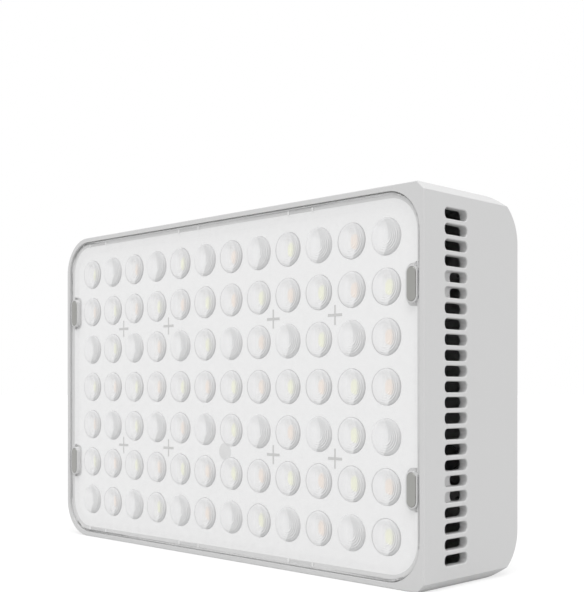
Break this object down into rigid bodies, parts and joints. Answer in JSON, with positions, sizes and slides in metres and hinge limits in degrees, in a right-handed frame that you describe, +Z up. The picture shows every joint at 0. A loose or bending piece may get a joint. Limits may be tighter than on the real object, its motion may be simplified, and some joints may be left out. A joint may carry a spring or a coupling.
{
  "type": "led panel light",
  "caption": "Pocket LED panel light: rectangular body with a grid of round lenses under a clear cover, side vents, rear dial, keys, screen and base thread.",
  "frame": {"origin": "centre of the base, on the surface that the light stands on", "axes": "+X along the length towards the chamfered end, -Y out of the lit face, +Z up"},
  "size_m": [0.116, 0.031, 0.0757],
  "materials": {
    "body_white": "satin",
    "rear_white": "satin",
    "clear_cover": "clear polished",
    "gasket_grey": "matte foam",
    "magnet_steel": "satin nickel plate",
    "tray_white": "satin",
    "clear_lens": "clear polished",
    "phosphor_cool": "satin phosphor",
    "phosphor_warm": "satin phosphor",
    "led_package": "gloss",
    "board_white": "matte solder mask",
    "pad_grey": "matte",
    "sink_aluminium": "black anodised",
    "screw_steel": "satin",
    "fan_black": "satin",
    "coil_copper": "enamelled winding",
    "cell_silver": "laminate foil",
    "holder_black": "satin",
    "board_green": "gloss solder mask",
    "chip_black": "matte",
    "encoder_steel": "satin",
    "control_grey": "satin",
    "window_black": "gloss",
    "inlet_steel": "polished",
    "insert_brass": "machined"
  },
  "bodies": {
    "light_body": {"housing": "body_white", "front_cover": "clear_cover", "cover_gasket": "gasket_grey", "accessory_magnets": "magnet_steel", "lens_tray": "tray_white", "lens_array": "clear_lens", "led_chips_cool": "phosphor_cool", "led_chips_warm": "phosphor_warm", "led_chips_colour": "led_package", "led_board": "board_white", "thermal_pad": "pad_grey", "heat_sink": "sink_aluminium", "tray_screws": "screw_steel", "engine_screws": "screw_steel", "fan_frame": "fan_black", "fan_lid": "fan_black", "fan_stator": "coil_copper", "fan_screws": "screw_steel", "battery_cells": "cell_silver", "battery_pads": "gasket_grey", "battery_holder": "holder_black", "main_board": "board_green", "driver_chips": "chip_black", "tact_switches": "chip_black", "power_switch": "chip_black", "encoder_body": "encoder_steel", "screen_module": "chip_black", "rear_cover": "rear_white", "rear_cover_screws": "screw_steel", "carrier_screws": "screw_steel", "screen_window": "window_black", "inlet_board": "board_green", "inlet_screws": "screw_steel", "usb_c_inlet": "inlet_steel", "tripod_insert": "insert_brass"},
    "rotor": {"fan_rotor": "fan_black"},
    "plunger": {"encoder_plunger": "chip_black"},
    "knob": {"control_knob": "control_grey", "encoder_shaft": "encoder_steel"},
    "mode_button": {"button_mode": "control_grey"},
    "preset_button": {"button_preset": "control_grey"},
    "wireless_button": {"button_wireless": "control_grey"},
    "slider": {"power_slider": "control_grey"}
  },
  "joints": [
    {"name": "fan_spin", "type": "hinge", "parent": "light_body", "child": "rotor", "pos_m": [0, 0, 0.03785], "axis": [0, 1, 0], "continuous": true},
    {"name": "knob_press", "type": "slide", "parent": "light_body", "child": "plunger", "axis": [0, -1, 0], "range_m": [0, 0.0005], "stiffness_N_per_m": 4000, "springref_m": -0.0002},
    {"name": "knob_turn", "type": "hinge", "parent": "plunger", "child": "knob", "pos_m": [0.029, 0.0155, 0.04585], "axis": [0, 1, 0], "continuous": true},
    {"name": "mode_press", "type": "slide", "parent": "light_body", "child": "mode_button", "axis": [0, -1, 0], "range_m": [0, 0.0004], "stiffness_N_per_m": 4000, "springref_m": -0.0002},
    {"name": "preset_press", "type": "slide", "parent": "light_body", "child": "preset_button", "axis": [0, -1, 0], "range_m": [0, 0.0004], "stiffness_N_per_m": 4000, "springref_m": -0.0002},
    {"name": "wireless_press", "type": "slide", "parent": "light_body", "child": "wireless_button", "axis": [0, -1, 0], "range_m": [0, 0.0004], "stiffness_N_per_m": 4000, "springref_m": -0.0002},
    {"name": "power_slide", "type": "slide", "parent": "light_body", "child": "slider", "axis": [1, 0, 0], "range_m": [0, 0.003]}
  ]
}
